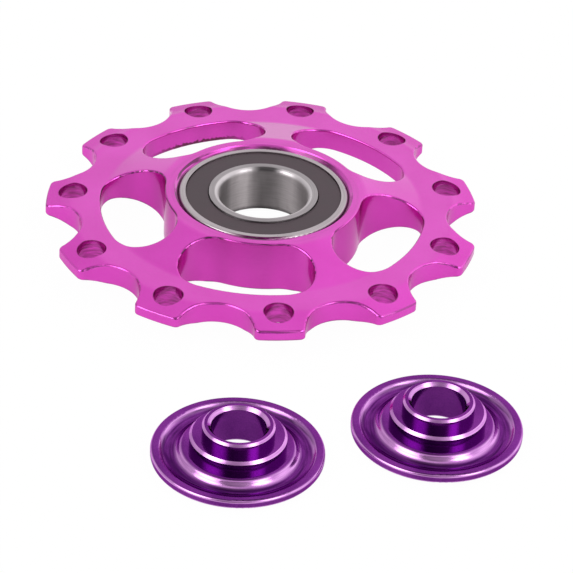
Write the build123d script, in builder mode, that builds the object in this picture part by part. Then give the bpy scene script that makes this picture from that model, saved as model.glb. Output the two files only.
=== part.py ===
"""Derailleur jockey wheel on a sealed ball bearing, with its two end caps taken off and laid in front.

Millimetres. The origin is the wheel's centre, half-way through its thickness, and +Z is the spin axis.
"""

import os
from math import asin, cos, degrees, radians, sin

from build123d import *

os.makedirs("parts", exist_ok=True)

# Chain and teeth
chain_pitch = 12.7
roller_diameter = 7.75
roller_play = 0.025  # between a chain roller and the bottom of its gap
tooth_count = 11
tooth_height = 3.24
tip_corner_radius = 0.6
tip_thickness = 1.05
taper_length = 2.5  # how far in from the tips the teeth begin to thin
tooth_edge_radius = 0.25
first_tooth_angle = 14.2

# Tooth holes
tooth_hole_diameter = 2.9
tooth_hole_inset = 2.63  # from the tips to the holes' centres

# Plate, hub and spokes
plate_thickness = 2.3
hub_wall = 1.425  # round the bearing, at the slots
hub_land = 1.8  # flat top of the hub, outwards from the bearing
bearing_recess = 0.18  # the hub stands this far above each bearing face
seat_chamfer = 0.5
blend_radius = 1.5  # where the turned faces meet: hub, spokes' cone, rim and tooth taper
slot_count = 5
spoke_width = 2.85  # at its narrowest
rim_width = 2.27  # from the bottom of the chain gaps to the slots
rim_land = 0.33  # flat margin outside the cone's foot, inside the slots' outer wall
slot_edge_radius = 0.2
first_slot_angle = 48.2

# Bearing
bearing_bore = 9.0
bearing_diameter = 17.0
bearing_width = 5.0
ball_diameter = 2.381
ball_count = 9
ball_play = 0.01  # between a ball and the bottom of each groove
groove_conformity = 0.52  # groove radius over ball diameter
land_gap = 0.74  # from the balls' circle to the race lands beside the grooves
outer_lip = 0.65  # outer race wall outside its seal
inner_lip = 1.0  # inner race wall inside its seal
outer_corner_radius = 0.2
bore_corner_radius = 0.5

# Seals
seal_thickness = 0.5
seal_recess = 0.15
seal_lip_play = 0.05
seal_edge_radius = 0.1
inner_step_play = 0.15  # between a seal and the step in the inner race

# Cage
cage_land_play = 0.29
cage_seal_play = 0.15
cage_prong_height = 0.75  # above the balls' centres
pocket_play = 0.1

# End caps
cap_diameter = 16.0
cap_flange_height = 1.5  # from the outer pad to the shoulder that meets the inner race
cap_shoulder_width = 0.8
cap_dish_edge_radius = 0.6  # where the shoulder drops into the dish
cap_plug_height = 1.3
cap_plug_play = 0.015  # in the bearing's bore
cap_plug_chamfer = 0.25
cap_collar_wall = 0.8  # round the bolt, above the plug
cap_collar_height = 1.1
cap_collar_chamfer = 0.2
cap_lip_width = 0.8
cap_lip_drop = 0.3  # the lip stops short of the shoulder, clear of the turning hub
cap_floor = 0.7  # thinnest, under the dish
cap_pad_diameter = 12.0
cap_rim_lift = 0.35  # the outer face rises this far from the pad to the rim
cap_rim_radius = 0.3
bolt_diameter = 5.0
bolt_play = 0.1  # on the diameter
bolt_hole_chamfer = 0.3

# Where the caps lie, seen from the wheel's centre
left_cap_gap = 7.8  # from the tips to the cap's rim
left_cap_angle = -91.8
right_cap_gap = 6.8
right_cap_angle = -62.2

# Wheel radii and half thicknesses
pitch_radius = chain_pitch / 2 / sin(radians(180 / tooth_count))
gap_radius = roller_diameter / 2 + roller_play
root_radius = pitch_radius - gap_radius
tip_radius = root_radius + tooth_height
taper_radius = tip_radius - taper_length
tooth_hole_circle = tip_radius - tooth_hole_inset
seat_radius = bearing_diameter / 2
slot_inner_radius = seat_radius + hub_wall
slot_outer_radius = root_radius - rim_width
slot_width = slot_outer_radius - slot_inner_radius
slot_mid_radius = (slot_outer_radius + slot_inner_radius) / 2
slot_half_angle = 180 / slot_count - degrees(asin((slot_width + spoke_width) / 2 / slot_mid_radius))
cone_top_radius = seat_radius + hub_land
cone_foot_radius = slot_outer_radius - rim_land
bearing_half = bearing_width / 2
hub_half = bearing_half + bearing_recess
plate_half = plate_thickness / 2
tip_half = tip_thickness / 2

# Bearing radii and levels
ball_circle = (bearing_bore + bearing_diameter) / 4
ball_radius = ball_diameter / 2
groove_radius = groove_conformity * ball_diameter
inner_groove_circle = ball_circle - ball_radius - ball_play + groove_radius
outer_groove_circle = ball_circle + ball_radius + ball_play - groove_radius
bore_radius = bearing_bore / 2
inner_land_radius = ball_circle - land_gap
outer_land_radius = ball_circle + land_gap
seal_seat_radius = seat_radius - outer_lip
inner_face_radius = bore_radius + inner_lip
seal_lip_radius = inner_face_radius + seal_lip_play
seal_outside = bearing_half - seal_recess
seal_inside = seal_outside - seal_thickness
inner_step = seal_inside - inner_step_play
cage_floor = cage_seal_play - seal_inside
pocket_radius = ball_radius + pocket_play

# Cap radii and levels above the surface that the part lies on
surface = -hub_half
cap_radius = cap_diameter / 2
cap_lip_radius = cap_radius - cap_lip_width
cap_lip_top = cap_flange_height - cap_lip_drop
cap_plug_radius = bore_radius - cap_plug_play
cap_plug_top = cap_flange_height + cap_plug_height
cap_shoulder_radius = cap_plug_radius + cap_shoulder_width
cap_dish_radius = (cap_lip_radius + cap_shoulder_radius) / 2
bolt_hole_radius = (bolt_diameter + bolt_play) / 2
cap_collar_radius = bolt_hole_radius + cap_collar_wall
cap_collar_top = cap_plug_top + cap_collar_height

# Toothed wheel: a turned blank, cut to the tooth outline, then slotted and drilled
with BuildLine() as slot_path:
    CenterArc((0, 0), slot_mid_radius, -slot_half_angle, 2 * slot_half_angle)

with BuildPart() as toothed_wheel:
    with BuildSketch(Plane.XZ):
        with BuildLine():
            Polyline(
                (seat_radius + seat_chamfer, hub_half),
                (seat_radius, hub_half - seat_chamfer),
                (seat_radius, 0),
                (tip_radius, 0),
                (tip_radius, tip_half),
            )
            FilletPolyline(
                (tip_radius, tip_half),
                (taper_radius, plate_half),
                (cone_foot_radius, plate_half),
                (cone_top_radius, hub_half),
                (seat_radius + seat_chamfer, hub_half),
                radius=blend_radius,
            )
        make_face()
        mirror(about=Plane.XZ)
    revolve(axis=Axis.Z)

    with BuildSketch() as tooth_outline:
        Circle(tip_radius)
        with PolarLocations(pitch_radius, tooth_count, start_angle=first_tooth_angle + 180 / tooth_count):
            Circle(gap_radius, mode=Mode.SUBTRACT)
        fillet(tooth_outline.vertices(), tip_corner_radius)
    extrude(amount=hub_half, both=True, mode=Mode.INTERSECT)
    tooth_walls = toothed_wheel.faces(Select.LAST).filter_by(GeomType.CYLINDER)
    fillet(tooth_walls.edges().filter_by(Axis.Z, reverse=True), tooth_edge_radius)

    with BuildSketch():
        with PolarLocations(0, slot_count, start_angle=first_slot_angle):
            SlotArc(slot_path.edge(), height=slot_width)
    extrude(amount=hub_half, both=True, mode=Mode.SUBTRACT)
    fillet(toothed_wheel.edges(Select.LAST).filter_by(Axis.Z, reverse=True), slot_edge_radius)

    with PolarLocations(tooth_hole_circle, tooth_count, start_angle=first_tooth_angle):
        Hole(tooth_hole_diameter / 2)
toothed_wheel.part.label = "toothed_wheel"
export_step(toothed_wheel.part, "parts/toothed_wheel.step")

# Outer race, pressed into the hub
with BuildPart() as bearing_outer_race:
    with BuildSketch(Plane.XZ):
        with BuildLine():
            FilletPolyline(
                (seat_radius, 0),
                (seat_radius, bearing_half),
                (seal_seat_radius, bearing_half),
                radius=outer_corner_radius,
            )
            Polyline(
                (seal_seat_radius, bearing_half),
                (seal_seat_radius, seal_inside),
                (outer_land_radius, seal_inside),
                (outer_land_radius, 0),
                (seat_radius, 0),
            )
        make_face()
        mirror(about=Plane.XZ)
        with Locations((outer_groove_circle, 0)):
            Circle(groove_radius, mode=Mode.SUBTRACT)
    revolve(axis=Axis.Z)
bearing_outer_race.part.label = "bearing_outer_race"
export_step(bearing_outer_race.part, "parts/bearing_outer_race.step")

# Inner race, which the end caps clamp
with BuildPart() as bearing_inner_race:
    with BuildSketch(Plane.XZ):
        with BuildLine():
            FilletPolyline(
                (bore_radius, 0),
                (bore_radius, bearing_half),
                (inner_face_radius, bearing_half),
                radius=bore_corner_radius,
            )
            Polyline(
                (inner_face_radius, bearing_half),
                (inner_face_radius, inner_step),
                (inner_land_radius, inner_step),
                (inner_land_radius, 0),
                (bore_radius, 0),
            )
        make_face()
        mirror(about=Plane.XZ)
        with Locations((inner_groove_circle, 0)):
            Circle(groove_radius, mode=Mode.SUBTRACT)
    revolve(axis=Axis.Z)
bearing_inner_race.part.label = "bearing_inner_race"
export_step(bearing_inner_race.part, "parts/bearing_inner_race.step")

# Crown cage: a ring whose open-topped pockets hold the balls apart
with BuildPart() as ball_cage:
    with BuildSketch(Plane.XY.offset(cage_floor)):
        Circle(outer_land_radius - cage_land_play)
        Circle(inner_land_radius + cage_land_play, mode=Mode.SUBTRACT)
    extrude(amount=cage_prong_height - cage_floor)
    with PolarLocations(ball_circle, ball_count):
        Sphere(pocket_radius, mode=Mode.SUBTRACT)
ball_cage.part.label = "ball_cage"
export_step(ball_cage.part, "parts/ball_cage.step")

# Balls, evenly spaced from +X
for number in range(ball_count):
    turn = radians(360 / ball_count * number)
    with BuildPart() as ball:
        with Locations((ball_circle * cos(turn), ball_circle * sin(turn))):
            Sphere(ball_radius)
    ball.part.label = f"ball_{number + 1}"
    export_step(ball.part, f"parts/ball_{number + 1}.step")

# Rubber seals, seated on the outer race's steps and clear of the inner race
for name, side in (("upper_seal", 1), ("lower_seal", -1)):
    with BuildPart() as seal:
        with BuildSketch(Plane.XY.offset(side * seal_inside)):
            Circle(seal_seat_radius)
            Circle(seal_lip_radius, mode=Mode.SUBTRACT)
        extrude(amount=side * seal_thickness)
        outward = Axis((0, 0, 0), (0, 0, side))
        fillet(seal.edges().group_by(outward)[-1], seal_edge_radius)
    seal.part.label = name
    export_step(seal.part, f"parts/{name}.step")

# End caps, lying on their outer faces with the plugs up
cap_places = {
    "left_end_cap": (left_cap_gap, left_cap_angle),
    "right_end_cap": (right_cap_gap, right_cap_angle),
}
for name, (gap, angle) in cap_places.items():
    distance = tip_radius + gap + cap_radius
    centre = Vector(distance * cos(radians(angle)), distance * sin(radians(angle)), surface)
    with BuildPart() as end_cap:
        with BuildSketch(Plane(origin=centre, x_dir=(1, 0, 0), z_dir=(0, -1, 0))) as cap_section:
            with BuildLine():
                Polyline(
                    (cap_shoulder_radius, cap_flange_height),
                    (cap_plug_radius, cap_flange_height),
                    (cap_plug_radius, cap_plug_top - cap_plug_chamfer),
                    (cap_plug_radius - cap_plug_chamfer, cap_plug_top),
                    (cap_collar_radius, cap_plug_top),
                    (cap_collar_radius, cap_collar_top - cap_collar_chamfer),
                    (cap_collar_radius - cap_collar_chamfer, cap_collar_top),
                    (bolt_hole_radius + bolt_hole_chamfer, cap_collar_top),
                    (bolt_hole_radius, cap_collar_top - bolt_hole_chamfer),
                    (bolt_hole_radius, bolt_hole_chamfer),
                    (bolt_hole_radius + bolt_hole_chamfer, 0),
                    (cap_pad_diameter / 2, 0),
                    (cap_radius, cap_rim_lift),
                    (cap_radius, cap_lip_top),
                    (cap_lip_radius, cap_lip_top),
                )
                ThreePointArc(
                    (cap_lip_radius, cap_lip_top),
                    (cap_dish_radius, cap_floor),
                    (cap_shoulder_radius, cap_flange_height),
                )
            make_face()
            rim_corners = cap_section.vertices().sort_by(Axis.X)[-3:]
            fillet(rim_corners, cap_rim_radius)
            shoulder_corner = (cap_shoulder_radius, cap_flange_height)
            fillet(cap_section.vertices().sort_by_distance(shoulder_corner)[0], cap_dish_edge_radius)
        revolve(axis=Axis(centre, (0, 0, 1)))
    end_cap.part.label = name
    export_step(end_cap.part, f"parts/{name}.step")
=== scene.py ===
"""Looks of the derailleur jockey wheel: finishes, floor, studio light and the photograph's camera."""

from math import cos, pi, radians, sin

import bpy
from mathutils import Matrix, Vector


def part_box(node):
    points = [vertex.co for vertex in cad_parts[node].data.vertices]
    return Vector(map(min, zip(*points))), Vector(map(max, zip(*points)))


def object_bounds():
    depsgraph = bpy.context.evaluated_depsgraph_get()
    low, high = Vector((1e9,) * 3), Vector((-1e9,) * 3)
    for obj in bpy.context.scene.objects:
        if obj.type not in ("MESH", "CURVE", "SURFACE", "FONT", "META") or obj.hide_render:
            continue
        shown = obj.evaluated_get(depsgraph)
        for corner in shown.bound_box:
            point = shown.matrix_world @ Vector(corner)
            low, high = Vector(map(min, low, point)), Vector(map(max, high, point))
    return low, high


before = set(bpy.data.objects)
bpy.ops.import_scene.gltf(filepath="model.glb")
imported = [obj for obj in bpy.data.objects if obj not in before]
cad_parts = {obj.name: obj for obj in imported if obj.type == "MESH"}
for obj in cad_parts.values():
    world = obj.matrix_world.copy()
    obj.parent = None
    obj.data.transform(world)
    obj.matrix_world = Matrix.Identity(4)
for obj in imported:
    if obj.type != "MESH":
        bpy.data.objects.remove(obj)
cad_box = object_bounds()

MM = 0.001

# Rings round the axes, in millimetres: grime with painted shade in the bearing's seam, the oil film on the
# hub, and a painted dark reflection in the dish of an end cap
SEAM_GRIME_AND_SHADE_RING = {"radius": 8.60, "half_width": 0.17, "strength": 1.0}
FILM_RING = {"radius": 8.9, "half_width": 1.1, "strength": 0.12}
DISH_DARK_REFLECTION_RING = {"radius": 6.45, "half_width": 0.80, "strength": 0.85}

# Tooth holes, slots and rim of the wheel, in millimetres and degrees round the axis from +X
TOOTH_COUNT = 11
FIRST_TOOTH_ANGLE = 14.2
TOOTH_SHIFT = 10.0  # for each radian round the wheel, so that each hole has marks of its own
HOLE_CIRCLE_RADIUS = 19.25
HOLE_RADIUS = 1.45
HOLE_LIP = (0.10, 0.03)  # how far outside a hole its marks end, and how far they are at full strength
SLOT_REACH = 17.0
SLOT_FADE = 0.1
RIM_REACH = 18.5
RIM_FADE = 2.0

# Marks: grime with painted shade in the bearing's seam, burrs with painted shade and dark reflections on
# edges, and faint bands on slot walls, less at the right rear
SEAM_GRIME_AND_SHADE_STAINS = {
    "front of the seam": {"angle": -90, "half_angle": 24, "radius": 8.98, "half_width": 0.27},
    "back of the seam": {"angle": 86, "half_angle": 13, "radius": 8.58, "half_width": 0.34},
    "right rear of the seam": {"angle": 52, "half_angle": 24, "radius": 8.78, "half_width": 0.17},
}
# Grime with painted shade on the front of the outer race's corner
RACE_GRIME_AND_SHADE_STAIN = {"angle": -90, "half_angle": 24, "radius": 8.50, "half_width": 0.26}
# Right rear, where the slots carry fewer burrs, less painted shade and no wall bands
LESS_MARKED_SIDE = {"angle": 45, "half_angle": 65}
# Dark burrs on edges, standing also for painted shade and dark reflections there, weaker on the slots at the
# right rear
TOOTH_BURRS_AND_SHADE = 0.6
SLOT_BURRS_AND_SHADE = 1.0
SIDE_BURRS_AND_SHADE_OFF = 0.75  # taken off the slots' burrs at the right rear
WALL_BANDS = 0.16

# Painted shade: a dark ragged strip at the foot of the rear left slot's outer wall
STRIP_SECTOR = {"angle": 116, "half_angle": 21}
STRIP_HEIGHT = -0.90
STRIP_HALF_WIDTH = 0.24
STRIP_JAG = 0.18
STRIP_INNER_REACH = 15.8
STRIP_INNER_FADE = 0.1
STRIP_OUTER_FADE = 0.2

# Bore of the bearing: painted dark reflections on its wall and corner, darker towards its foot, and how far
# from its wall its look ends and its corner's starts and ends
BORE_RADIUS = 4.5
BORE_FOOT = -2.3
BORE_DARK_REFLECTIONS = {
    "back": {"angle": 80, "half_angle": 32, "strength": 0.48},
    "left": {"angle": 154, "half_angle": 18, "strength": 0.45},
}
CORNER_DARK_REFLECTION = {"angle": 87, "half_angle": 20, "strength": 0.85}
FOOT_DARKENING_HEIGHT = 0.5
FOOT_DARKENING_STRENGTH = 0.9
BORE_FADE = (0.25, 0.02)
CORNER_START = (0.0, 0.08)
CORNER_END = (0.48, 0.36)
BORE_ROUGHENING = 0.20

# Steepness of a surface: 0 on walls round the axis, 1 on faces across it, and rounded edges in between
WALL_END = 0.10
EDGE_START = 0.35
EDGE_END = 0.75
FACE_START = 0.92
# Where the dark strip of painted shade at the foot of a slot wall ends, and where it is at full strength
STRIP_LIMIT = (0.95, 0.75)  # where the rough strip ends, and where it is at full strength
PLAIN_FACE = (0.4, 0.9)  # where the tint of grazing reflections fades out

# Fading: the part of a band or a sector, from its middle, that is at full strength
BAND_CORE = 0.6
SECTOR_CORE = 0.4

# Noise: spans of its values that are stretched to a whole range. A narrow span gives hard-edged blotches.
SOFT_SPAN = (0.3, 0.7)
CLOUD_SPAN = (0.35, 0.65)

# Shader settings: the roughness of the clear oxide skin, and the turn of a race's highlights
COAT_ROUGHNESS = 0.10
QUARTER_TURN = 0.25

# Camera, fitted to the photograph: its aim on the floor, its view in degrees, and its lens in millimetres
AIM_X = 2.7392 * MM
AIM_Y = -9.1116 * MM
CAMERA_DISTANCE = 301.476 * MM
CAMERA_AZIMUTH = -0.6181
CAMERA_ELEVATION = 33.7975
CAMERA_ROLL = 3.1674
SENSOR_WIDTH = 36
CAMERA_LENS = 191.083

# Studio: a white tent with round patches, given in degrees, that fade out from the inner to the outer radius
TENT_LEVEL = 1.0
TENT_LEAN = 0.3  # brighter towards the right by this much, and darker towards the left
TENT_PATCHES = {
    "gap overhead": {"azimuth": 0, "elevation": 90, "inner": 12, "outer": 24, "level": 0.35},
    "gap round the camera": {"azimuth": 0, "elevation": 34, "inner": 18, "outer": 32, "level": 0.36},
    "left window": {"azimuth": -60, "elevation": 38, "inner": 6, "outer": 24, "level": 5.0},
    "right window": {"azimuth": 52, "elevation": 38, "inner": 4, "outer": 17, "level": 5.0},
    "low back wall": {"azimuth": 180, "elevation": 2, "inner": 3, "outer": 14, "level": 0.86},
}
FLOOR_SIZE = 3.0
FLOOR_GAP = 0.02 * MM
FLOOR_GLOW = 0.98  # share of plain white that the eye sees
FLOOR_GLOW_IN_METAL = 0.52

# Colours, linear
WHEEL_DEEP = (0.65, 0.038, 0.47, 1)
WHEEL_BRIGHT = (0.73, 0.058, 0.55, 1)
WHEEL_WORN = (0.82, 0.24, 0.70, 1)
WHEEL_GRAZING = (0.84, 0.42, 0.74, 1)
CAP_DEEP = (0.105, 0.010, 0.155, 1)
CAP_BRIGHT = (0.25, 0.038, 0.32, 1)
# Pale edges of the caps: wear, brightened as a painted highlight
CAP_WORN_AND_HIGHLIGHT = (0.84, 0.40, 0.88, 1)
# Painted dark reflection in the dish of an end cap
CAP_PAINTED_DARK_REFLECTION = (0.034, 0.001, 0.060, 1)
CAP_GRAZING = (0.80, 0.46, 0.85, 1)
# Dark of grime, also used as painted shade in the bearing's seam and on edges
GRIME_AND_SHADE = (0.13, 0.012, 0.09, 1)
# Dark of torn and scratched metal, also used as painted shade in the tooth holes and at the foot of a slot
# wall
TORN_AND_SHADE = (0.14, 0.006, 0.068, 1)
OUTER_STEEL_DARK = (0.38, 0.335, 0.355, 1)
OUTER_STEEL_LIGHT = (0.57, 0.51, 0.54, 1)
INNER_STEEL_DARK = (0.30, 0.27, 0.285, 1)
INNER_STEEL_LIGHT = (0.45, 0.415, 0.43, 1)
BORE_STEEL_DARK = (0.39, 0.355, 0.365, 1)
BORE_STEEL_LIGHT = (0.54, 0.50, 0.51, 1)
CORNER_STEEL = (0.62, 0.575, 0.595, 1)
# Dark paint in the bore: painted dark reflections on its wall and corner, and darker towards its foot
BORE_DARKENING = (0.035, 0.030, 0.032, 1)
BALL_DARK = (0.62, 0.62, 0.63, 1)
BALL_LIGHT = (0.72, 0.72, 0.73, 1)
RUBBER_DARK = (0.037, 0.020, 0.028, 1)
RUBBER_LIGHT = (0.060, 0.036, 0.047, 1)
NYLON_DARK = (0.50, 0.44, 0.33, 1)
NYLON_LIGHT = (0.58, 0.52, 0.41, 1)
WHITE = (1, 1, 1, 1)
FLOOR_PAINT = (0.9, 0.9, 0.9, 1)

# Sockets of a Mix node that take and give colours
MIX_FIRST = 6
MIX_SECOND = 7
MIX_RESULT = 2


def add_node(tree, kind, inputs=None, **settings):
    """Adds a shader node. Each input is a value, or an output of another node to link."""
    node = tree.nodes.new(kind)
    for name, value in settings.items():
        setattr(node, name, value)
    for socket, value in (inputs or {}).items():
        if isinstance(value, bpy.types.NodeSocket):
            tree.links.new(value, node.inputs[socket])
        else:
            node.inputs[socket].default_value = value
    return node


def calculate(tree, operation, first, second=0.0):
    """The output of a Math node."""
    return add_node(tree, "ShaderNodeMath", {0: first, 1: second}, operation=operation).outputs[0]


def product(tree, first, *others):
    """All the values multiplied together."""
    for other in others:
        first = calculate(tree, "MULTIPLY", first, other)
    return first


def vector_math(tree, operation, inputs):
    """A Vector Math node's outputs."""
    return add_node(tree, "ShaderNodeVectorMath", inputs, operation=operation).outputs


def spread(tree, value, span, to=(0.0, 1.0)):
    """value, stretched so that the two ends of span become the two ends of to, and held between them."""
    inputs = {"Value": value, "From Min": span[0], "From Max": span[1], "To Min": to[0], "To Max": to[1]}
    return add_node(tree, "ShaderNodeMapRange", inputs).outputs["Result"]


def blend(tree, share, first, second):
    """The colour that is first where share is 0, and second where it is 1."""
    inputs = {"Factor": share, MIX_FIRST: first, MIX_SECOND: second}
    return add_node(tree, "ShaderNodeMix", inputs, data_type="RGBA").outputs[MIX_RESULT]


def noise(tree, place, size, detail=2.0):
    """Noise between 0 and 1 whose blotches are about size across, in the units of place."""
    inputs = {"Vector": place, "Scale": 1 / size, "Detail": detail}
    return add_node(tree, "ShaderNodeTexNoise", inputs).outputs["Fac"]


def millimetres(tree, centre):
    """The place on the surface, in millimetres from centre."""
    coordinates = add_node(tree, "ShaderNodeTexCoord").outputs["Object"]
    from_centre = vector_math(tree, "SUBTRACT", {0: coordinates, 1: centre})["Vector"]
    return vector_math(tree, "SCALE", {0: from_centre, "Scale": 1 / MM})["Vector"]


def across_axis(tree, place):
    """The part of place that lies across the axis."""
    return vector_math(tree, "MULTIPLY", {0: place, 1: (1, 1, 0)})["Vector"]


def along_axis(tree, place):
    """The part of place that lies along the axis."""
    return vector_math(tree, "MULTIPLY", {0: place, 1: (0, 0, 1)})["Vector"]


def radius_of(tree, place):
    """The distance of place from the axis."""
    return vector_math(tree, "LENGTH", {0: across_axis(tree, place)})["Value"]


def height_of(tree, place):
    """The part of place along the axis, as a number."""
    return add_node(tree, "ShaderNodeSeparateXYZ", {0: place}).outputs["Z"]


def turned_noise(tree, place, width, length, detail=2.0):
    """Noise drawn out round the axis, as a lathe or grinder leaves it: marks of that width and length."""
    across = across_axis(tree, place)
    squeezed = vector_math(tree, "SCALE", {0: across, "Scale": width / length})["Vector"]
    drawn = vector_math(tree, "ADD", {0: squeezed, 1: along_axis(tree, place)})["Vector"]
    inputs = {"Vector": drawn, "W": radius_of(tree, place), "Scale": 1 / width, "Detail": detail}
    return add_node(tree, "ShaderNodeTexNoise", inputs, noise_dimensions="4D").outputs["Fac"]


def drawn_noise(tree, place, width, length, detail=2.0):
    """Noise drawn out along the axis, in marks of that width and length."""
    along = along_axis(tree, place)
    squeezed = vector_math(tree, "SCALE", {0: along, "Scale": width / length})["Vector"]
    drawn = vector_math(tree, "ADD", {0: across_axis(tree, place), 1: squeezed})["Vector"]
    return noise(tree, drawn, width, detail)


def band_share(tree, value, middle, half_width):
    """1 where value is near middle, fading out to half_width either side of it."""
    off_middle = calculate(tree, "ABSOLUTE", calculate(tree, "SUBTRACT", value, middle))
    return spread(tree, off_middle, (half_width, BAND_CORE * half_width))


def ring_share(tree, place, radius, half_width, strength):
    """Up to strength in a patchy ring round the axis, fading out to half_width either side of radius."""
    ring = band_share(tree, radius_of(tree, place), radius, half_width)
    patches = turned_noise(tree, place, width=0.3, length=4.0)
    return product(tree, ring, spread(tree, patches, span=(0.35, 0.60), to=(0.0, strength)))


def sector_share(tree, place, angle, half_angle, strength=1.0):
    """strength in a sector that far round the axis, fading out to half_angle either side of angle."""
    outward = vector_math(tree, "NORMALIZE", {0: across_axis(tree, place)})["Vector"]
    middle_way = (cos(radians(angle)), sin(radians(angle)), 0)
    facing = vector_math(tree, "DOT_PRODUCT", {0: outward, 1: middle_way})["Value"]
    edges = (cos(radians(half_angle)), cos(radians(SECTOR_CORE * half_angle)))
    return spread(tree, facing, edges, to=(0.0, strength))


def ragged_patch_share(tree, place, angle, half_angle, radius, half_width):
    """Up to 1 in a ragged patch that far round the axis and that far from it."""
    sector = sector_share(tree, place, angle, half_angle)
    ring = band_share(tree, radius_of(tree, place), radius, half_width)
    rags = turned_noise(tree, place, width=0.15, length=1.2, detail=3.0)
    return product(tree, sector, ring, spread(tree, rags, span=(0.26, 0.44)))


def steepness(tree):
    """0 on surfaces that face straight out from the axis, and 1 on those that face along it."""
    normal = add_node(tree, "ShaderNodeTexCoord").outputs["Normal"]
    return calculate(tree, "ABSOLUTE", height_of(tree, normal))


def edge_share(tree):
    """1 on rounded and chamfered edges, which face neither along the axis nor straight out."""
    steep = steepness(tree)
    off_walls = spread(tree, steep, (WALL_END, EDGE_START))
    off_faces = spread(tree, steep, (FACE_START, EDGE_END))
    return product(tree, off_walls, off_faces)


def hole_scratches_and_shade(tree, place):
    """Scratches on the walls of the tooth holes and just round them, in marks that run round each hole, dark
    enough to be painted shade inside the holes too.
    """
    radius = radius_of(tree, place)
    parts = add_node(tree, "ShaderNodeSeparateXYZ", {0: place}).outputs
    angle = calculate(tree, "ARCTAN2", parts["Y"], parts["X"])
    from_first_tooth = calculate(tree, "SUBTRACT", angle, radians(FIRST_TOOTH_ANGLE))
    half_step = pi / TOOTH_COUNT
    inputs = {0: from_first_tooth, 1: half_step, 2: -half_step}
    from_own_tooth = add_node(tree, "ShaderNodeMath", inputs, operation="WRAP").outputs[0]
    tooth_turn = calculate(tree, "SUBTRACT", from_first_tooth, from_own_tooth)
    outward = product(tree, radius, calculate(tree, "COSINE", from_own_tooth))
    inputs = {
        "X": calculate(tree, "SUBTRACT", outward, HOLE_CIRCLE_RADIUS),
        "Y": product(tree, radius, calculate(tree, "SINE", from_own_tooth)),
        "Z": calculate(tree, "ADD", parts["Z"], product(tree, tooth_turn, TOOTH_SHIFT)),
    }
    from_hole = add_node(tree, "ShaderNodeCombineXYZ", inputs).outputs[0]
    lip_end, lip_start = (HOLE_RADIUS + lip for lip in HOLE_LIP)
    on_wall = spread(tree, radius_of(tree, from_hole), (lip_end, lip_start))
    marks = turned_noise(tree, from_hole, width=0.22, length=1.3, detail=4.0)
    return product(tree, on_wall, spread(tree, marks, span=(0.36, 0.64), to=(0.05, 0.72)))


def painted_shade_strip(tree, place):
    """Up to 1 in a ragged strip of painted shade at the foot of the rear left slot's outer wall."""
    jag = spread(tree, noise(tree, place, size=0.35, detail=3.0), SOFT_SPAN, to=(-STRIP_JAG, STRIP_JAG))
    jagged_height = calculate(tree, "ADD", height_of(tree, place), jag)
    radius = radius_of(tree, place)
    return product(
        tree,
        band_share(tree, jagged_height, STRIP_HEIGHT, STRIP_HALF_WIDTH),
        sector_share(tree, place, **STRIP_SECTOR),
        spread(tree, radius, (STRIP_INNER_REACH, STRIP_INNER_REACH + STRIP_INNER_FADE)),
        spread(tree, radius, (SLOT_REACH + STRIP_OUTER_FADE, SLOT_REACH)),
        spread(tree, steepness(tree), STRIP_LIMIT),
    )


def new_material(name):
    """A new material, its tree and its main shader."""
    material = bpy.data.materials.new(name)
    material.use_nodes = True
    return material, material.node_tree, material.node_tree.nodes["Principled BSDF"]


def finish_with(tree, shader, colour, roughness):
    """Links the shader's colour and roughness."""
    tree.links.new(colour, shader.inputs["Base Color"])
    tree.links.new(roughness, shader.inputs["Roughness"])


def raise_bump(tree, shader, height, depth):
    """Bumps the shader by height times depth, in metres."""
    bump = add_node(tree, "ShaderNodeBump", {"Height": height, "Distance": depth})
    tree.links.new(bump.outputs["Normal"], shader.inputs["Normal"])


def anodised(name, centre, deep, bright, worn_and_highlight, wear_and_highlight_strength, roughness_range, turning, coat):
    """Dyed anodised aluminium: dyed metal under a clear oxide skin, with turning marks and paler edges, which
    are wear and, on the caps, also a painted highlight.

    Returns the material, its tree, its shader, the place on it, its colour and its roughness, for grime,
    painted shade and painted reflections to go over it."""
    material, tree, shader = new_material(name)
    place = millimetres(tree, centre)
    cloud = noise(tree, place, size=6.0, detail=3.0)
    grain = noise(tree, place, size=0.12)
    marks = turned_noise(tree, place, width=0.12, length=4.0, detail=3.0)
    cloudy = spread(tree, cloud, CLOUD_SPAN, to=(0.0, 0.6))
    grainy = spread(tree, grain, SOFT_SPAN, to=(0.0, 0.4))
    tone = blend(tree, calculate(tree, "ADD", cloudy, grainy), deep, bright)
    # Paler edges: wear, and on the caps also a painted highlight
    edge_patches = turned_noise(tree, place, width=0.2, length=2.5, detail=3.0)
    wear_and_highlight = product(tree, edge_share(tree), spread(tree, edge_patches, CLOUD_SPAN, to=(0.5, 1.0)), wear_and_highlight_strength)
    raise_bump(tree, shader, calculate(tree, "ADD", product(tree, marks, turning), grain), depth=0.002 * MM)
    shader.inputs["Metallic"].default_value = 1.0
    shader.inputs["Coat Weight"].default_value = coat
    shader.inputs["Coat Roughness"].default_value = COAT_ROUGHNESS
    roughness = spread(tree, marks, SOFT_SPAN, to=roughness_range)
    return material, tree, shader, place, blend(tree, wear_and_highlight, tone, worn_and_highlight), roughness


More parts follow.
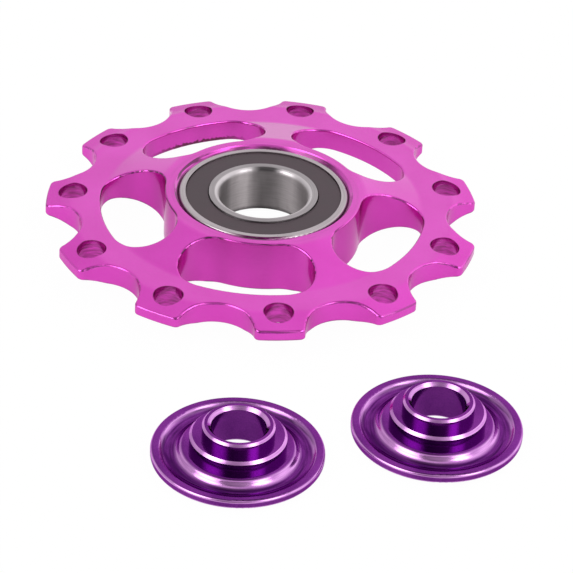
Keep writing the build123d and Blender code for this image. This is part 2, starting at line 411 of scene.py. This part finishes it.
def wheel_finish():
    """Magenta anodising with oil, grime and painted shade round the bearing, scratched holes with painted
    shade inside, marked slot walls with a strip of painted shade at the foot of one, and burrs with painted
    shade and dark reflections on edges.

    Its grazing reflections are tinted, apart from those of the faces inside the rim."""
    material, tree, shader, place, colour, roughness = anodised(
        "wheel_anodised", (0, 0, 0), deep=WHEEL_DEEP, bright=WHEEL_BRIGHT, worn_and_highlight=WHEEL_WORN,
        wear_and_highlight_strength=0.20, roughness_range=(0.18, 0.26), turning=0.6, coat=0.65,
    )
    radius = radius_of(tree, place)
    steep = steepness(tree)
    in_slots = spread(tree, radius, (SLOT_REACH, SLOT_REACH - SLOT_FADE))
    in_less_marked_slots = product(tree, in_slots, sector_share(tree, place, **LESS_MARKED_SIDE))
    in_more_marked_slots = calculate(tree, "SUBTRACT", in_slots, in_less_marked_slots)

    # Oil film, and grime with painted shade in the seam between hub and race, which at the right rear also
    # darkens a highlight
    grime_and_shade_shares = [ring_share(tree, place, **ring) for ring in (FILM_RING, SEAM_GRIME_AND_SHADE_RING)]
    grime_and_shade_shares += [ragged_patch_share(tree, place, **dark_patch) for dark_patch in SEAM_GRIME_AND_SHADE_STAINS.values()]
    for share in grime_and_shade_shares:
        colour = blend(tree, share, colour, GRIME_AND_SHADE)

    bands = drawn_noise(tree, place, width=3.0, length=30.0, detail=0.0)
    wall_bands = product(
        tree,
        in_more_marked_slots,
        spread(tree, steep, (EDGE_START, WALL_END)),
        spread(tree, bands, CLOUD_SPAN, to=(0.0, WALL_BANDS)),
    )
    for share in (hole_scratches_and_shade(tree, place), painted_shade_strip(tree, place), wall_bands):
        colour = blend(tree, share, colour, TORN_AND_SHADE)

    # Burrs, with painted shade and dark reflections, broken along the edges
    burr_and_shade_noise = turned_noise(tree, place, width=0.4, length=4.0, detail=4.0)
    burr_and_shade_strength = calculate(
        tree,
        "SUBTRACT",
        spread(tree, in_slots, span=(0.0, 1.0), to=(TOOTH_BURRS_AND_SHADE, SLOT_BURRS_AND_SHADE)),
        product(tree, in_less_marked_slots, SIDE_BURRS_AND_SHADE_OFF),
    )
    burred_and_shaded_edges = product(tree, edge_share(tree), burr_and_shade_strength, spread(tree, burr_and_shade_noise, span=(0.48, 0.56)))
    finish_with(tree, shader, blend(tree, burred_and_shaded_edges, colour, GRIME_AND_SHADE), roughness)

    inside_rim = spread(tree, radius, (RIM_REACH + RIM_FADE, RIM_REACH))
    on_faces = product(tree, spread(tree, steep, PLAIN_FACE), inside_rim)
    tree.links.new(blend(tree, on_faces, WHEEL_GRAZING, WHITE), shader.inputs["Specular Tint"])
    return material


def cap_finish(name, centre):
    """Purple anodising, with a painted dark reflection in the dish, and edges brightened as painted
    highlights.
    """
    material, tree, shader, place, colour, roughness = anodised(
        name, centre, deep=CAP_DEEP, bright=CAP_BRIGHT, worn_and_highlight=CAP_WORN_AND_HIGHLIGHT,
        wear_and_highlight_strength=0.85, roughness_range=(0.10, 0.18), turning=1.5, coat=0.06,
    )
    # Painted dark reflection in the cap's dish
    with_dark_reflection = blend(tree, ring_share(tree, place, **DISH_DARK_REFLECTION_RING), colour, CAP_PAINTED_DARK_REFLECTION)
    finish_with(tree, shader, with_dark_reflection, roughness)
    shader.inputs["Specular Tint"].default_value = CAP_GRAZING
    return material


def ground_steel(name, dark, light, grain_pull):
    """Ground steel of a race: fine lines round the axis, smudges, and reflections drawn out along the axis.

    Returns the material, its tree, its shader, the place on it, its colour and its roughness, for grime,
    painted shade and painted reflections to go over it."""
    material, tree, shader = new_material(name)
    place = millimetres(tree, (0, 0, 0))
    lines = turned_noise(tree, place, width=0.10, length=3.0, detail=3.0)
    smudges = noise(tree, place, size=1.8, detail=4.0)
    light_share = product(
        tree, spread(tree, lines, span=(0.25, 0.75)), spread(tree, smudges, span=(0.2, 0.7), to=(0.5, 1.0))
    )
    roughness = spread(tree, smudges, SOFT_SPAN, to=(0.26, 0.38))
    raise_bump(tree, shader, lines, depth=0.002 * MM)
    round_axis = add_node(tree, "ShaderNodeTangent", direction_type="RADIAL", axis="Z")
    tree.links.new(round_axis.outputs[0], shader.inputs["Tangent"])
    shader.inputs["Anisotropic"].default_value = grain_pull
    shader.inputs["Anisotropic Rotation"].default_value = QUARTER_TURN
    shader.inputs["Metallic"].default_value = 1.0
    return material, tree, shader, place, blend(tree, light_share, dark, light), roughness


def outer_race_finish():
    """Ground steel with grime and painted shade in the seam round it."""
    material, tree, shader, place, face, roughness = ground_steel(
        "outer_race_steel", OUTER_STEEL_DARK, OUTER_STEEL_LIGHT, grain_pull=0.5
    )
    # Grime with painted shade on the race's corner at the front
    finish_with(tree, shader, blend(tree, ragged_patch_share(tree, place, **RACE_GRIME_AND_SHADE_STAIN), face, GRIME_AND_SHADE), roughness)
    return material


def inner_race_finish():
    """Ground steel with a streaked and brushed bore, painted dark reflections on the bore and on the polished
    corner round it, and darker towards the bore's foot.
    """
    material, tree, shader, place, face, roughness = ground_steel(
        "inner_race_steel", INNER_STEEL_DARK, INNER_STEEL_LIGHT, grain_pull=0.9
    )
    streaks = drawn_noise(tree, place, width=0.9, length=4.7, detail=3.0)
    brushing = turned_noise(tree, place, width=0.14, length=2.0, detail=3.0)
    light_share = calculate(
        tree,
        "ADD",
        spread(tree, streaks, SOFT_SPAN, to=(0.0, 0.5)),
        spread(tree, brushing, span=(0.32, 0.68), to=(0.0, 0.5)),
    )
    bore = blend(tree, light_share, BORE_STEEL_DARK, BORE_STEEL_LIGHT)
    # Painted dark reflections on the bore's wall and its corner
    for dark_patch in BORE_DARK_REFLECTIONS.values():
        bore = blend(tree, sector_share(tree, place, **dark_patch), bore, BORE_DARKENING)
    corner = blend(tree, sector_share(tree, place, **CORNER_DARK_REFLECTION), CORNER_STEEL, BORE_DARKENING)

    from_bore = calculate(tree, "SUBTRACT", radius_of(tree, place), BORE_RADIUS)
    in_bore = spread(tree, from_bore, BORE_FADE)
    on_corner = product(tree, spread(tree, from_bore, CORNER_START), spread(tree, from_bore, CORNER_END))
    # Darker towards the foot of the bore
    foot = (BORE_FOOT + FOOT_DARKENING_HEIGHT, BORE_FOOT)
    at_foot = product(tree, in_bore, spread(tree, height_of(tree, place), foot, to=(0.0, FOOT_DARKENING_STRENGTH)))
    colour = blend(tree, in_bore, face, bore)
    colour = blend(tree, on_corner, colour, corner)
    colour = blend(tree, at_foot, colour, BORE_DARKENING)
    rougher = calculate(tree, "ADD", roughness, product(tree, in_bore, BORE_ROUGHENING))
    finish_with(tree, shader, colour, rougher)
    return material


def ball_steel(name, centre):
    """Polished steel of a ball, with faint lapping marks and a film of oil."""
    material, tree, shader = new_material(name)
    place = millimetres(tree, centre)
    film = noise(tree, place, size=0.8, detail=4.0)
    roughness = spread(tree, film, SOFT_SPAN, to=(0.05, 0.12))
    finish_with(tree, shader, blend(tree, film, BALL_DARK, BALL_LIGHT), roughness)
    raise_bump(tree, shader, noise(tree, place, size=0.05), depth=0.0005 * MM)
    shader.inputs["Metallic"].default_value = 1.0
    return material


def rubber():
    """Moulded seal rubber: fine grain, dusty patches and faint moulding rings."""
    material, tree, shader = new_material("seal_rubber")
    place = millimetres(tree, (0, 0, 0))
    grain = noise(tree, place, size=0.10)
    dust = noise(tree, place, size=1.6, detail=4.0)
    rings = turned_noise(tree, place, width=0.4, length=8.0, detail=1.0)
    light_share = product(
        tree, spread(tree, dust, span=(0.35, 0.70)), spread(tree, grain, SOFT_SPAN, to=(0.6, 1.0))
    )
    roughness = spread(tree, dust, SOFT_SPAN, to=(0.45, 0.62))
    finish_with(tree, shader, blend(tree, light_share, RUBBER_DARK, RUBBER_LIGHT), roughness)
    raise_bump(tree, shader, calculate(tree, "ADD", grain, rings), depth=0.004 * MM)
    return material


def nylon():
    """Moulded nylon of the ball cage, with a fine matte grain."""
    material, tree, shader = new_material("cage_nylon")
    place = millimetres(tree, (0, 0, 0))
    cloud = noise(tree, place, size=0.9, detail=4.0)
    grain = noise(tree, place, size=0.08)
    roughness = spread(tree, grain, SOFT_SPAN, to=(0.42, 0.58))
    finish_with(tree, shader, blend(tree, cloud, NYLON_DARK, NYLON_LIGHT), roughness)
    raise_bump(tree, shader, grain, depth=0.003 * MM)
    return material


def dress(node, material):
    """Gives a CAD node's object that material."""
    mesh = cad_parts[node].data
    mesh.materials.clear()
    mesh.materials.append(material)


def middle_of(node):
    """The middle of a CAD node's box."""
    low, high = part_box(node)
    return (Vector(low) + Vector(high)) / 2


def direction_to(azimuth, elevation):
    """The direction that is so many degrees round from the -Y side, towards +X, and above the floor."""
    turn, rise = radians(azimuth), radians(elevation)
    return Vector((sin(turn) * cos(rise), -cos(turn) * cos(rise), sin(rise)))


# Finishes
dress("toothed_wheel", wheel_finish())
for cap in ("left_end_cap", "right_end_cap"):
    dress(cap, cap_finish(cap, middle_of(cap)))
dress("bearing_outer_race", outer_race_finish())
dress("bearing_inner_race", inner_race_finish())
seal_rubber = rubber()
dress("upper_seal", seal_rubber)
dress("lower_seal", seal_rubber)
dress("ball_cage", nylon())
ball_nodes = [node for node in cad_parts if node.startswith("ball_") and node != "ball_cage"]
for ball in ball_nodes:
    dress(ball, ball_steel(ball, middle_of(ball)))

# Floor: pale paint that takes the part's soft shadow, with a glow that whitens it to the eye and in metal
floor_level = cad_box[0].z
bpy.ops.mesh.primitive_plane_add(size=FLOOR_SIZE, location=(0, 0, floor_level - FLOOR_GAP))
floor = bpy.context.object
floor.name = "floor"
floor_material = bpy.data.materials.new("floor_white")
floor_material.use_nodes = True
floor_tree = floor_material.node_tree
floor_tree.nodes.clear()
rays = add_node(floor_tree, "ShaderNodeLightPath").outputs
mirrored = calculate(floor_tree, "ADD", rays["Is Glossy Ray"], rays["Is Transmission Ray"])
seen_glow = product(floor_tree, rays["Is Camera Ray"], FLOOR_GLOW)
mirrored_glow = product(floor_tree, mirrored, FLOOR_GLOW_IN_METAL)
glow_share = calculate(floor_tree, "ADD", seen_glow, mirrored_glow)
paint = add_node(floor_tree, "ShaderNodeBsdfDiffuse", {"Color": FLOOR_PAINT}).outputs[0]
glow = add_node(floor_tree, "ShaderNodeEmission", {"Color": WHITE, "Strength": 1.0}).outputs[0]
floor_mix = add_node(floor_tree, "ShaderNodeMixShader", {0: glow_share, 1: paint, 2: glow})
add_node(floor_tree, "ShaderNodeOutputMaterial", {"Surface": floor_mix.outputs[0]})
floor.data.materials.append(floor_material)

# White tent, darker overhead, round the camera and low at the back, with a bright window on each side
world = bpy.data.worlds.new("white_tent")
bpy.context.scene.world = world
world.use_nodes = True
sky = world.node_tree
look = add_node(sky, "ShaderNodeTexCoord").outputs["Generated"]
sideways = add_node(sky, "ShaderNodeSeparateXYZ", {0: look}).outputs["X"]
brightness = spread(sky, sideways, span=(-1.0, 1.0), to=(TENT_LEVEL - TENT_LEAN, TENT_LEVEL + TENT_LEAN))
for patch in TENT_PATCHES.values():
    patch_way = direction_to(patch["azimuth"], patch["elevation"])
    facing = vector_math(sky, "DOT_PRODUCT", {0: look, 1: patch_way})["Value"]
    edges = (cos(radians(patch["outer"])), cos(radians(patch["inner"])))
    change = spread(sky, facing, edges, to=(0.0, patch["level"] - TENT_LEVEL))
    brightness = calculate(sky, "ADD", change, brightness)
sky.links.new(brightness, sky.nodes["Background"].inputs["Color"])

# Camera
back = direction_to(CAMERA_AZIMUTH, CAMERA_ELEVATION)
aim = Vector((AIM_X, AIM_Y, floor_level))
facing_aim = (-back).to_track_quat("-Z", "Y").to_matrix().to_4x4()
roll = Matrix.Rotation(radians(CAMERA_ROLL), 4, "Z")
camera = bpy.data.objects.new("camera", bpy.data.cameras.new("camera"))
bpy.context.scene.collection.objects.link(camera)
camera.matrix_world = Matrix.Translation(aim + back * CAMERA_DISTANCE) @ facing_aim @ roll
camera.data.sensor_width = SENSOR_WIDTH
camera.data.lens = CAMERA_LENS
camera.data.clip_start = CAMERA_DISTANCE / 100
bpy.context.scene.camera = camera
bpy.context.scene.view_settings.view_transform = "Standard"
